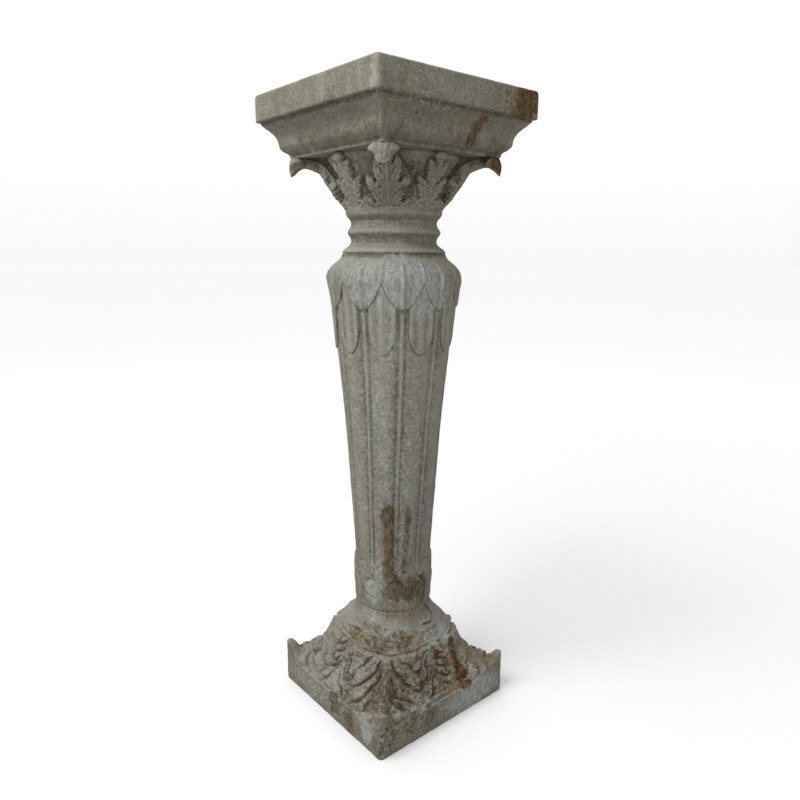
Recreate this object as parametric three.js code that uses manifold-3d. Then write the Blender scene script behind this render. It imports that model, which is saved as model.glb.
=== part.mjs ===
import * as THREE from 'three';
import { mergeVertices } from 'three/addons/utils/BufferGeometryUtils.js';
import Module from 'manifold-3d';

// Cast-iron pedestal column: a square base with acanthus leaves, a tapered
// round shaft with hanging tongues, and a leafy capital under a square slab.
// Millimetres, +Z up. The origin is at the middle of the underside.

// Heights of the three castings and the joint between them
const BASE_HEIGHT = 177;
const SHAFT_HEIGHT = 586.4;
const CAPITAL_HEIGHT = 236;
const JOINT_GAP = 0.3;

// Base: plinth, flared foot and leaves
const PLINTH_SIDE = 278;
const PLINTH_HEIGHT = 46;
const PLINTH_CORNER_CUT = 2.5;
const FLARE_NECK_RADIUS = 63;
const FLARE_CORNER_REACH = 100;
const FLARE_FACE_REACH = 80;
const BAND_UPPER_HEIGHT = 143;
const BAND_LOWER_HEIGHT = 124;
const BAND_PROJECTION = 2.4;
const BASE_CORNER_LEAF_WIDTH = 112;
const BASE_FACE_LEAF_WIDTH = 86;
const SKIRT_RIM = 5;
const HORN_HEIGHT = 31;

// Shaft: round tapered body with rows of tongues
const SHAFT_FOOT_RADIUS = 63.4;
const SHAFT_BEAD_RADIUS = 66.2;
const SHAFT_WAIST_RADIUS = 64.6;
const SHAFT_SHOULDER_RADIUS = 102.4;
const SHAFT_NECK_RADIUS = 81;
const SHAFT_BEAD_HEIGHT = 22;
const SHAFT_WAIST_HEIGHT = 88;
const SHOULDER_FALL = 41.4;
const SHAFT_SHOULDER_HEIGHT = SHAFT_HEIGHT - SHOULDER_FALL;
const TONGUE_COUNT = 10;
const TONGUE_THICKNESS = 1.2;
const UPPER_TONGUE_DROP = 39;
const LOWER_TONGUE_DROP = 107;
const LOWER_SIDE_DROP = 69;
const UPPER_TONGUE_TIP = SHAFT_SHOULDER_HEIGHT - UPPER_TONGUE_DROP;
const LOWER_TONGUE_TIP = SHAFT_SHOULDER_HEIGHT - LOWER_TONGUE_DROP;
const LOWER_TONGUE_SIDE = SHAFT_SHOULDER_HEIGHT - LOWER_SIDE_DROP;
const ORNAMENT_TURN = 4.3;
const TALL_LEAF_TOP = 84;
const TALL_LEAF_NOTCH = 60;
const SHORT_LEAF_TOP = 57;
const SHORT_LEAF_NOTCH = 31;
const FLUTE_DEPTH = 2.2;
const PANEL_CROWN = 1.6;

// Capital: neck rings, bell, leaves and moulded slab
const NECK_FOOT_RADIUS = 80.6;
const NECK_HOLLOW_RADIUS = 67.2;
const NECK_RING_RADIUS = 72.8;
const NECK_TOP_RADIUS = 75;
const NECK_LIP_HEIGHT = 3.4;
const NECK_RING_HEIGHT = 4;
const NECK_HEIGHT = 69;
const BELL_LIP_RADIUS = 101;
const SLAB_SIDE = 306.5;
const SLAB_HEIGHT = 40.5;
const SLAB_CORNER_CUT = 2.5;
const MOULD_HEIGHT = 53;
const MOULD_TOP_SIDE = 294;
const MOULD_WAIST_SIDE = 255.4;
const MOULD_FOOT_SIDE = 230;
const CORNER_LEAF_REACH = 166;
const CORNER_LEAF_WIDTH = 68;
const FACE_LEAF_WIDTH = 68;

const PAINT = { color: 0x8e8c7e, roughness: 0.85, metalness: 0.1 };

const wasm = await Module();
wasm.setup();

const degrees = THREE.MathUtils.degToRad;
const mix = THREE.MathUtils.lerp;
const smooth = THREE.MathUtils.smoothstep;

// A closed mesh as a solid that can be joined and cut
function solid(geometry) {
  const bare = geometry.clone();
  bare.deleteAttribute('normal');
  bare.deleteAttribute('uv');
  const merged = mergeVertices(bare, 1e-4);
  const mesh = new wasm.Mesh({
    numProp: 3,
    vertProperties: Float32Array.from(merged.attributes.position.array),
    triVerts: Uint32Array.from(merged.index.array),
  });
  return new wasm.Manifold(mesh);
}

function joined(solids) {
  return solids.reduce((whole, part) => whole.add(part));
}

function casting(name, whole) {
  const { vertProperties, triVerts } = whole.getMesh();
  const geometry = new THREE.BufferGeometry();
  geometry.setAttribute('position', new THREE.BufferAttribute(Float32Array.from(vertProperties), 3));
  geometry.setIndex(new THREE.BufferAttribute(Uint32Array.from(triVerts), 1));
  geometry.computeVertexNormals();
  const mesh = new THREE.Mesh(geometry, new THREE.MeshStandardMaterial(PAINT));
  mesh.name = name;
  return mesh;
}

// A skin over a stack of closed rings of equal count, with both ends shut
function loft(rings) {
  const count = rings[0].length;
  const positions = rings.flat().flatMap((point) => point.toArray());
  const index = [];
  rings.slice(1).forEach((_, row) => {
    for (let i = 0; i < count; i += 1) {
      const next = (i + 1) % count;
      const low = row * count;
      const high = low + count;
      index.push(low + i, low + next, high + next);
      index.push(low + i, high + next, high + i);
    }
  });
  [rings[0], rings.at(-1)].forEach((ring, end) => {
    const start = end * (rings.length - 1) * count;
    const middle = ring.reduce((sum, point) => sum.add(point), new THREE.Vector3());
    positions.push(...middle.divideScalar(count).toArray());
    const hub = positions.length / 3 - 1;
    for (let i = 0; i < count; i += 1) {
      const next = (i + 1) % count;
      index.push(hub, start + (end ? i : next), start + (end ? next : i));
    }
  });
  const geometry = new THREE.BufferGeometry();
  geometry.setAttribute('position', new THREE.Float32BufferAttribute(positions, 3));
  geometry.setIndex(index);
  return geometry;
}

// A smooth curve through [place, value] knots, read by place
function curveThrough(knots) {
  const slope = (i) => {
    const before = knots[Math.max(i - 1, 0)];
    const after = knots[Math.min(i + 1, knots.length - 1)];
    return (after[1] - before[1]) / (after[0] - before[0]);
  };
  return (place) => {
    const at = Math.min(Math.max(place, knots[0][0]), knots.at(-1)[0]);
    const i = Math.min(knots.findLastIndex(([start]) => start <= at), knots.length - 2);
    const [x0, y0] = knots[i];
    const [x1, y1] = knots[i + 1];
    const width = x1 - x0;
    const t = (at - x0) / width;
    const rise = (1 - t) ** 2 * (y0 * (1 + 2 * t) + slope(i) * width * t);
    return rise + t ** 2 * (y1 * (3 - 2 * t) - slope(i + 1) * width * (1 - t));
  };
}

function polar(radius, angle, height) {
  return new THREE.Vector3(radius * Math.cos(angle), radius * Math.sin(angle), height);
}

// A square ring with small corner cuts, its sides along X and Y
function squareRing(side, cut, height) {
  const half = side / 2;
  const corners = [[1, -1], [1, 1], [-1, 1], [-1, -1]];
  return corners.flatMap(([x, y]) => {
    const first = x * y < 0 ? [half - cut, half] : [half, half - cut];
    const second = first.toReversed();
    return [first, second].map(([a, b]) => new THREE.Vector3(x * a, y * b, height));
  });
}

// An acanthus leaf: cross-sections along a path of [reach, height] points in a
// vertical plane. The face looks to the right of the path when it rises and
// to its left when it falls. It has a lobed edge, a rib along its middle and a
// body behind the face that runs into what carries the leaf.
const ACROSS = [-1, -0.55, 0, 0.55, 1];

function leaf({ path, falls, sections, halfWidth, lobes, lobeDepth, rib, droop, body, bodyShare, wrap }) {
  const line = new THREE.CatmullRomCurve3(path.map(([reach, height]) => new THREE.Vector3(reach, 0, height)));
  const side = falls ? -1 : 1;
  const rings = Array.from({ length: sections + 1 }, (_, i) => {
    const t = i / sections;
    const point = line.getPointAt(t);
    const along = line.getTangentAt(t);
    const out = new THREE.Vector3(along.z * side, 0, -along.x * side);
    const half = halfWidth(t) * (1 - lobeDepth * Math.abs(Math.cos(Math.PI * lobes * t)) * (1 - t));
    const face = ACROSS.map((share) => {
      const y = share * half;
      const raise = rib(t) * (1 - Math.abs(share)) ** 2 - droop(t) * share ** 2;
      const round = wrap(t) * (point.x - Math.sqrt(Math.max(point.x ** 2 - y ** 2, 0)));
      return point.clone().addScaledVector(out, raise).add(new THREE.Vector3(-round, y, 0));
    });
    const back = point.clone().addScaledVector(out, -body(t));
    return [...face, back.clone().setY(half * bodyShare), back.clone().setY(-half * bodyShare)];
  });
  const ordered = falls ? rings.map((ring) => ring.toReversed()) : rings;
  return solid(loft(ordered));
}

function fourTimes(shape, firstAngle) {
  return [0, 90, 180, 270].map((turn) => shape.rotate([0, 0, firstAngle + turn]));
}

// Base: the flare is round at the joint and squarer lower down, with two bands
function flareSkin(reaches) {
  const [corner, face] = reaches.map((knots) => curveThrough(knots));
  const bands = [BAND_UPPER_HEIGHT, BAND_LOWER_HEIGHT];
  const halfBand = (BAND_UPPER_HEIGHT - BAND_LOWER_HEIGHT) / 2;
  const heights = [
    PLINTH_HEIGHT - 1, mix(PLINTH_HEIGHT, BAND_LOWER_HEIGHT, 0.18), mix(PLINTH_HEIGHT, BAND_LOWER_HEIGHT, 0.46),
    BAND_LOWER_HEIGHT - halfBand, BAND_LOWER_HEIGHT, BAND_LOWER_HEIGHT + halfBand,
    BAND_UPPER_HEIGHT, BAND_UPPER_HEIGHT + halfBand, mix(BAND_UPPER_HEIGHT + halfBand, BASE_HEIGHT, 0.5), BASE_HEIGHT,
  ];
  const sides = 32;
  return heights.map((height) => {
    const band = bands.includes(height) ? BAND_PROJECTION : 0;
    return Array.from({ length: sides }, (_, i) => {
      const angle = (i / sides) * 2 * Math.PI;
      const cornerness = ((1 - Math.cos(4 * angle)) / 2) ** 1.3;
      return polar(mix(face(height), corner(height), cornerness) + band, angle, height);
    });
  });
}

function flare() {
  const rim = PLINTH_SIDE / 2 - SKIRT_RIM;
  const reaches = [[FLARE_CORNER_REACH, rim * 1.3], [FLARE_FACE_REACH, rim]].map(([reach, foot]) => [
    [PLINTH_HEIGHT - 1, foot],
    [mix(PLINTH_HEIGHT, BAND_LOWER_HEIGHT, 0.18), mix(reach, foot, 0.65)],
    [mix(PLINTH_HEIGHT, BAND_LOWER_HEIGHT, 0.46), mix(reach, foot, 0.3)],
    [BAND_LOWER_HEIGHT - 12, reach + 2],
    [BAND_LOWER_HEIGHT + 7, mix(reach, FLARE_NECK_RADIUS, 0.2)],
    [BAND_UPPER_HEIGHT + 7, mix(reach, FLARE_NECK_RADIUS, 0.6)],
    [BASE_HEIGHT - 14, mix(reach, FLARE_NECK_RADIUS, 0.9)],
    [BASE_HEIGHT, FLARE_NECK_RADIUS],
  ]);
  return solid(loft(flareSkin(reaches)));
}

function plinth(height) {
  return solid(loft([0, height].map((level) => squareRing(PLINTH_SIDE, PLINTH_CORNER_CUT, level))));
}

// The corner leaf sweeps down the flare and turns up as a horn at the corner
function baseCornerLeaf() {
  const tip = PLINTH_SIDE * Math.SQRT1_2;
  const half = BASE_CORNER_LEAF_WIDTH / 2;
  const top = BAND_LOWER_HEIGHT;
  return leaf({
    path: [
      [FLARE_CORNER_REACH - 6, top + 2],
      [FLARE_CORNER_REACH + 8, top - 9],
      [FLARE_CORNER_REACH + 14, top - 23],
      [FLARE_CORNER_REACH + 22, top - 36],
      [tip - 60, PLINTH_HEIGHT + 28],
      [tip - 38, PLINTH_HEIGHT + 20],
      [tip - 20, PLINTH_HEIGHT + 25],
      [tip + 6, PLINTH_HEIGHT + HORN_HEIGHT],
    ],
    falls: true,
    sections: 12,
    halfWidth: curveThrough([
      [0, half * 0.45], [0.2, half * 0.85], [0.42, half], [0.62, half * 0.75], [0.8, half * 0.45], [1, half * 0.2],
    ]),
    lobes: 4,
    lobeDepth: 0.28,
    rib: () => 3,
    droop: (t) => mix(3, 16, Math.sin(Math.PI * t)),
    body: (t) => mix(24, 44, t),
    bodyShare: 0.8,
    wrap: (t) => 1 - smooth(t, 0, 0.4),
  });
}

function baseFaceLeaf() {
  const edge = PLINTH_SIDE / 2;
  const half = BASE_FACE_LEAF_WIDTH / 2;
  const top = BAND_LOWER_HEIGHT;
  return leaf({
    path: [
      [FLARE_FACE_REACH - 8, top],
      [FLARE_FACE_REACH + 6, top - 14],
      [FLARE_FACE_REACH + 15, top - 32],
      [edge - 34, PLINTH_HEIGHT + 32],
      [edge - 19, PLINTH_HEIGHT + 21],
      [edge - 8, PLINTH_HEIGHT + 14],
      [edge - 2, PLINTH_HEIGHT + 5],
    ],
    falls: true,
    sections: 10,
    halfWidth: curveThrough([[0, half * 0.4], [0.3, half * 0.85], [0.55, half], [0.8, half * 0.7], [1, half * 0.3]]),
    lobes: 4,
    lobeDepth: 0.28,
    rib: () => 3,
    droop: (t) => mix(2, 9, Math.sin(Math.PI * t)),
    body: (t) => mix(24, 16, t),
    bodyShare: 0.7,
    wrap: (t) => 1 - smooth(t, 0, 0.5),
  });
}

function makeBase() {
  const leaves = [...fourTimes(baseCornerLeaf(), 45), ...fourTimes(baseFaceLeaf(), 0)];
  const column = plinth(BASE_HEIGHT);
  return joined([plinth(PLINTH_HEIGHT), flare(), ...leaves]).intersect(column);
}

// Shaft: rows of points round a tapered profile. A row that borders a tongue
// follows its outline, so that the skin steps back just past that border.
const shoulderFall = [[0.34, 0.12], [0.58, 0.42], [0.8, 0.82]].map(([rise, inward]) => [
  mix(SHAFT_SHOULDER_HEIGHT, SHAFT_HEIGHT, rise),
  mix(SHAFT_SHOULDER_RADIUS, SHAFT_NECK_RADIUS, inward),
]);
const swelling = (share) => mix(SHAFT_WAIST_RADIUS, SHAFT_SHOULDER_RADIUS, share);
const taper = curveThrough([
  [0, SHAFT_FOOT_RADIUS],
  [2.5, SHAFT_BEAD_RADIUS - 0.9],
  [SHAFT_BEAD_HEIGHT / 2, SHAFT_BEAD_RADIUS],
  [SHAFT_BEAD_HEIGHT - 5, SHAFT_BEAD_RADIUS],
  [SHAFT_BEAD_HEIGHT + 6, SHAFT_WAIST_RADIUS],
  [SHORT_LEAF_TOP, SHAFT_WAIST_RADIUS + 0.4],
  [SHAFT_WAIST_HEIGHT, SHAFT_WAIST_RADIUS],
  [mix(SHAFT_WAIST_HEIGHT, LOWER_TONGUE_TIP, 0.31), swelling(0.18)],
  [mix(SHAFT_WAIST_HEIGHT, LOWER_TONGUE_TIP, 0.65), swelling(0.4)],
  [LOWER_TONGUE_TIP, swelling(0.7)],
  [UPPER_TONGUE_TIP, swelling(0.86)],
  [mix(UPPER_TONGUE_TIP, SHAFT_SHOULDER_HEIGHT, 0.67), swelling(0.94)],
  [SHAFT_SHOULDER_HEIGHT, SHAFT_SHOULDER_RADIUS],
  ...shoulderFall,
  [SHAFT_HEIGHT, SHAFT_NECK_RADIUS],
]);

function makeShaft() {
  const period = 360 / TONGUE_COUNT;
  const half = period / 2;
  const groove = period * 0.125;
  const panel = half - groove;
  const offsets = [0, period * 0.085, groove, period * 0.17, period * 0.33, half];
  const steps = [...offsets, ...offsets.slice(1, -1).toReversed().map((step) => -step)];
  const margin = 0.01;
  const onRidge = (away) => Math.abs(away) < groove - margin;
  const inGroove = (away) => Math.abs(Math.abs(away) - groove) < margin;
  const fromPanel = (away) => half - Math.abs(away);

  const upperEdge = (away) => mix(UPPER_TONGUE_TIP, SHAFT_SHOULDER_HEIGHT, (Math.abs(away) / half) ** 2.2);
  const lowerEdge = (away) => {
    if (onRidge(away)) return UPPER_TONGUE_TIP - 4;
    const share = Math.min(1, fromPanel(away) / panel);
    return mix(LOWER_TONGUE_TIP, LOWER_TONGUE_SIDE, 1 - Math.sqrt(1 - 0.98 * share ** 2));
  };
  const tallEdge = (away) => mix(TALL_LEAF_TOP, TALL_LEAF_NOTCH, (fromPanel(away) / half) ** 2);
  const shortEdge = (away) => mix(SHORT_LEAF_TOP, SHORT_LEAF_NOTCH, (Math.abs(away) / half) ** 2);

  const round = () => 0;
  const fluted = (away) => {
    if (onRidge(away)) return -PANEL_CROWN / 2;
    if (inGroove(away)) return -FLUTE_DEPTH - PANEL_CROWN;
    return -PANEL_CROWN * (fromPanel(away) / panel) ** 2;
  };
  const tongue = (away) => (onRidge(away) ? fluted(away) : TONGUE_THICKNESS);
  const raised = (layers) => () => layers * TONGUE_THICKNESS;
  const level = (height) => () => height;
  const upShaft = (share) => level(mix(TALL_LEAF_TOP, LOWER_TONGUE_TIP, share));
  const rows = [
    [level(0), round],
    [level(2.5), round],
    [level(SHAFT_BEAD_HEIGHT / 2), round],
    [level(SHAFT_BEAD_HEIGHT), round],
    [shortEdge, raised(2)],
    [(away) => shortEdge(away) + 1.5, raised(0.8)],
    [tallEdge, raised(1.2)],
    [(away) => tallEdge(away) + 1.5, fluted],
    [upShaft(0.2), fluted],
    [upShaft(0.5), fluted],
    [upShaft(0.75), fluted],
    [(away) => lowerEdge(away) - 1.5, fluted],
    [lowerEdge, tongue],
    [(away) => Math.max(upperEdge(away) - 1.5, lowerEdge(away) + 1), raised(0.8)],
    [(away) => Math.max(upperEdge(away), lowerEdge(away) + 3), raised(1.8)],
    ...shoulderFall.map(([height]) => [level(height), round]),
    [level(SHAFT_HEIGHT), round],
  ];
  const lead = (height) => ORNAMENT_TURN * smooth(height, SHAFT_WAIST_HEIGHT, LOWER_TONGUE_TIP);
  const rings = rows.map(([heightAt, skin]) => Array.from({ length: TONGUE_COUNT }, (_, i) => (
    steps.map((away) => {
      const height = heightAt(away);
      const angle = i * period + (away < 0 ? away + period : away) + lead(height);
      return polar(taper(height) + skin(away), degrees(angle), height);
    })
  )).flat());
  return solid(loft(rings));
}

// Capital: rings and bell turned round the axis, a moulded square slab, leaves
const SOFFIT = CAPITAL_HEIGHT - SLAB_HEIGHT - MOULD_HEIGHT;

function neckAndBell() {
  const ringFoot = NECK_HEIGHT * 0.43;
  const ringTop = ringFoot + NECK_RING_HEIGHT;
  const lowHollow = NECK_HEIGHT * 0.25;
  const highHollow = NECK_HEIGHT * 0.67;
  const cove = (share) => mix(NECK_HOLLOW_RADIUS, NECK_FOOT_RADIUS, share);
  const ring = (share) => mix(NECK_HOLLOW_RADIUS, NECK_RING_RADIUS, share);
  const top = (share) => mix(NECK_HOLLOW_RADIUS, NECK_TOP_RADIUS, share);
  const bell = [[0.13, 0.04], [0.42, 0.23], [0.73, 0.58]].map(([rise, outward]) => [
    mix(NECK_TOP_RADIUS, BELL_LIP_RADIUS, outward),
    mix(NECK_HEIGHT, SOFFIT, rise),
  ]);
  const outline = [
    [0, 0], [NECK_FOOT_RADIUS, 0], [NECK_FOOT_RADIUS, NECK_LIP_HEIGHT], [cove(0.8), NECK_LIP_HEIGHT * 2],
    [cove(0.28), mix(NECK_LIP_HEIGHT, lowHollow, 0.6)],
    [NECK_HOLLOW_RADIUS, lowHollow], [ring(0.25), mix(lowHollow, ringFoot, 0.6)],
    [NECK_RING_RADIUS, ringFoot], [NECK_RING_RADIUS, ringTop],
    [ring(0.25), mix(ringTop, highHollow, 0.4)], [NECK_HOLLOW_RADIUS, highHollow],
    [top(0.3), mix(highHollow, NECK_HEIGHT, 0.28)], [top(0.9), mix(highHollow, NECK_HEIGHT, 0.52)],
    [NECK_TOP_RADIUS, NECK_HEIGHT], ...bell,
    [BELL_LIP_RADIUS, SOFFIT - 4], [BELL_LIP_RADIUS, SOFFIT + 2], [0, SOFFIT + 2],
  ];
  const lathe = new THREE.LatheGeometry(outline.map(([x, y]) => new THREE.Vector2(x, y)), 32);
  lathe.rotateX(Math.PI / 2);
  return solid(lathe);
}

// The moulding under the slab: a fillet, a quarter round and a hollow
function slab() {
  const under = CAPITAL_HEIGHT - SLAB_HEIGHT;
  const fillet = 4.5;
  const quarter = (MOULD_WAIST_SIDE - MOULD_FOOT_SIDE) / 2;
  const hollowFoot = SOFFIT + fillet + quarter + 6;
  const hollowTop = under - 3.5;
  const quarterRound = [0.25, 0.5, 0.75, 1].map((t) => {
    const turn = (t * Math.PI) / 2;
    return [MOULD_FOOT_SIDE + 2 * quarter * Math.sin(turn), SOFFIT + fillet + quarter * (1 - Math.cos(turn))];
  });
  const hollow = [0, 0.3, 0.6, 0.85, 1].map((t) => (
    [mix(MOULD_WAIST_SIDE, MOULD_TOP_SIDE, t ** 1.6), mix(hollowFoot, hollowTop, t)]
  ));
  const profile = [
    [MOULD_FOOT_SIDE, SOFFIT],
    [MOULD_FOOT_SIDE, SOFFIT + fillet],
    ...quarterRound,
    ...hollow,
    [MOULD_TOP_SIDE, under],
    [SLAB_SIDE, under],
    [SLAB_SIDE, CAPITAL_HEIGHT - SLAB_CORNER_CUT],
    [SLAB_SIDE - 2 * SLAB_CORNER_CUT, CAPITAL_HEIGHT],
  ];
  return solid(loft(profile.map(([side, height]) => squareRing(side, SLAB_CORNER_CUT, height))));
}

// The corner leaf rises up the bell, runs out under the slab and curls down
function capitalCornerLeaf() {
  const half = CORNER_LEAF_WIDTH / 2;
  const foot = NECK_HEIGHT;
  return leaf({
    path: [
      [NECK_TOP_RADIUS - 1, foot - 1],
      [NECK_TOP_RADIUS + 11, foot + 13],
      [NECK_TOP_RADIUS + 24, foot + 28],
      [NECK_TOP_RADIUS + 32, foot + 39],
      [CORNER_LEAF_REACH - 48, SOFFIT - 22],
      [CORNER_LEAF_REACH - 35, SOFFIT - 15.5],
      [CORNER_LEAF_REACH - 20, SOFFIT - 12.5],
      [CORNER_LEAF_REACH - 9, SOFFIT - 16],
      [CORNER_LEAF_REACH - 3, SOFFIT - 25],
    ],
    falls: false,
    sections: 13,
    halfWidth: curveThrough([
      [0, half * 0.95], [0.2, half], [0.42, half * 0.85], [0.62, half * 0.42],
      [0.75, half * 0.4], [0.9, half * 0.62], [1, half * 0.25],
    ]),
    lobes: 5,
    lobeDepth: 0.3,
    rib: () => 2.5,
    droop: (t) => mix(1, 5, smooth(t, 0.4, 0.9)),
    body: (t) => mix(26, 16, smooth(t, 0.3, 0.7)) - 8 * smooth(t, 0.88, 1),
    bodyShare: 0.6,
    wrap: (t) => 1 - smooth(t, 0.3, 0.6),
  });
}

function capitalFaceLeaf() {
  const half = FACE_LEAF_WIDTH / 2;
  const foot = NECK_HEIGHT;
  return leaf({
    path: [
      [NECK_TOP_RADIUS - 1, foot - 1],
      [NECK_TOP_RADIUS + 4, foot + 11],
      [NECK_TOP_RADIUS + 12, foot + 29],
      [NECK_TOP_RADIUS + 22, foot + 48],
      [NECK_TOP_RADIUS + 29, SOFFIT - 11],
      [NECK_TOP_RADIUS + 34, SOFFIT - 4],
      [NECK_TOP_RADIUS + 38, SOFFIT - 5],
    ],
    falls: false,
    sections: 10,
    halfWidth: curveThrough([[0, half * 0.85], [0.3, half], [0.55, half * 0.9], [0.8, half * 0.55], [1, half * 0.25]]),
    lobes: 5,
    lobeDepth: 0.3,
    rib: () => 2.5,
    droop: (t) => mix(1, 4, t),
    body: (t) => mix(18, 14, t),
    bodyShare: 0.6,
    wrap: (t) => 1 - smooth(t, 0.3, 0.9),
  });
}

function makeCapital() {
  const leaves = [...fourTimes(capitalCornerLeaf(), 45), ...fourTimes(capitalFaceLeaf(), 0)];
  return joined([neckAndBell(), slab(), ...leaves]);
}

const column = new THREE.Group();
const base = casting('base', makeBase());
const shaft = casting('shaft', makeShaft());
shaft.position.z = BASE_HEIGHT + JOINT_GAP;
const capital = casting('capital', makeCapital());
capital.position.z = shaft.position.z + SHAFT_HEIGHT + JOINT_GAP;
column.add(base, shaft, capital);

export default column;
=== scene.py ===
import itertools
import math

import bpy
import numpy as np
from mathutils import Matrix, Vector


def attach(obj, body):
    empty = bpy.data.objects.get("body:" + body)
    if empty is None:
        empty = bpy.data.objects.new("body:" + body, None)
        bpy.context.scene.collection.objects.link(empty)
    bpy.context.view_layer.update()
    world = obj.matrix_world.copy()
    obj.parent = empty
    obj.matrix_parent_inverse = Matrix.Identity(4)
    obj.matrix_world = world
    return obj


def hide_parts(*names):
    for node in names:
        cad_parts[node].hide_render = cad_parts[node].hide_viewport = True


# Looks of the cast-iron pedestal column. The forms are worked out in
# millimetres in the row frame and become metres when a mesh is made.

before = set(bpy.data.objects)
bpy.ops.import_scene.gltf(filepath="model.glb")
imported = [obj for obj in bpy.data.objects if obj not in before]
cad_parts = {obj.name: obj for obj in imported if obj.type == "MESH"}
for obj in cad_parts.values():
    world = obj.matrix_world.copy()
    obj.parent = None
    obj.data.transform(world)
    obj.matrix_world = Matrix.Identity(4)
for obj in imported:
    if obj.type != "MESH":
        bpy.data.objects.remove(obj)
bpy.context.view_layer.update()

MM = 0.001

# Heights of the castings
BASE_HEIGHT = 177.0
SHAFT_HEIGHT = 586.4
CAPITAL_HEIGHT = 236.0
JOINT_GAP = 0.3
SHAFT_FLOOR = BASE_HEIGHT + JOINT_GAP
CAPITAL_FLOOR = SHAFT_FLOOR + SHAFT_HEIGHT + JOINT_GAP
TOTAL_HEIGHT = CAPITAL_FLOOR + CAPITAL_HEIGHT

# Base
PLINTH_SIDE = 278.0
PLINTH_HEIGHT = 46.0
HORN_HEIGHT = 31.0
COLLAR_RADIUS = 70.0
# Shares of the way down the foot's skin, from the collar to the rim
COLLAR_RING = 0.27
LEAF_HEAD = 0.405

# Shaft
SHAFT_SHOULDER_RADIUS = 102.4
TONGUE_COUNT = 10
TONGUE_HALF_TURN = 12.3
UPPER_TONGUE_TIP = 506.0
UPPER_TONGUE_NOTCH = 545.0
LOWER_TONGUE_TIP = 438.0
LOWER_TONGUE_SIDE = 480.0
TALL_LEAF_TOP = 84.0
TALL_LEAF_NOTCH = 60.0
SHORT_LEAF_TOP = 57.0
SHORT_LEAF_NOTCH = 31.0
ORNAMENT_TURN = 4.3

# Capital
NECK_HEIGHT = 69.0
NECK_TOP_RADIUS = 75.0
BELL_LIP_RADIUS = 101.0
SLAB_SIDE = 306.5
SLAB_HEIGHT = 40.5
MOULD_HEIGHT = 53.0
SOFFIT = CAPITAL_HEIGHT - SLAB_HEIGHT - MOULD_HEIGHT
CORNER_LEAF_REACH = 166.0

# Carving: lengths of one tooth of a leaf's edge and of one finger of the foot's lobes
TOOTH_LENGTH = 9.0
FINGER_LENGTH = 11.0


def mix(a, b, t):
    return a + (b - a) * t


def smooth(value, low, high):
    t = np.clip((value - low) / (high - low), 0.0, 1.0)
    return t * t * (3.0 - 2.0 * t)


def hump(value, middle, width):
    return np.exp(-(((value - middle) / width) ** 2))


def curve_through(knots):
    """A smooth curve through (place, value) knots, read by place."""
    places = np.array([knot[0] for knot in knots], float)
    values = np.array([knot[1] for knot in knots], float)
    slopes = np.empty_like(values)
    slopes[1:-1] = (values[2:] - values[:-2]) / (places[2:] - places[:-2])
    slopes[0] = (values[1] - values[0]) / (places[1] - places[0])
    slopes[-1] = (values[-1] - values[-2]) / (places[-1] - places[-2])

    def at(place):
        spot = np.clip(np.asarray(place, float), places[0], places[-1])
        i = np.clip(np.searchsorted(places, spot, side="right") - 1, 0, len(places) - 2)
        width = places[i + 1] - places[i]
        t = (spot - places[i]) / width
        first = (1 - t) ** 2 * (values[i] * (1 + 2 * t) + slopes[i] * width * t)
        return first + t**2 * (values[i + 1] * (3 - 2 * t) - slopes[i + 1] * width * (1 - t))

    return at


def lattice_noise(points, size, seed):
    """Smooth noise from -1 to 1 with features of about that size."""
    place = points / size
    cell = np.floor(place).astype(np.int64)
    part = place - cell
    part = part * part * (3.0 - 2.0 * part)
    total = np.zeros(len(points))
    for corner in itertools.product((0, 1), repeat=3):
        node = cell + np.array(corner)
        code = node[:, 0] * 73856093 ^ node[:, 1] * 19349663 ^ node[:, 2] * 83492791 ^ seed * 2654435761
        code = (code ^ (code >> 13)) * 1274126177 & 0xFFFFFFFF
        code = (code ^ (code >> 16)) & 0xFFFFFFFF
        weight = np.prod(np.where(np.array(corner) == 1, part, 1.0 - part), axis=1)
        total += (code / 0x7FFFFFFF - 1.0) * weight
    return total


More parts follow.
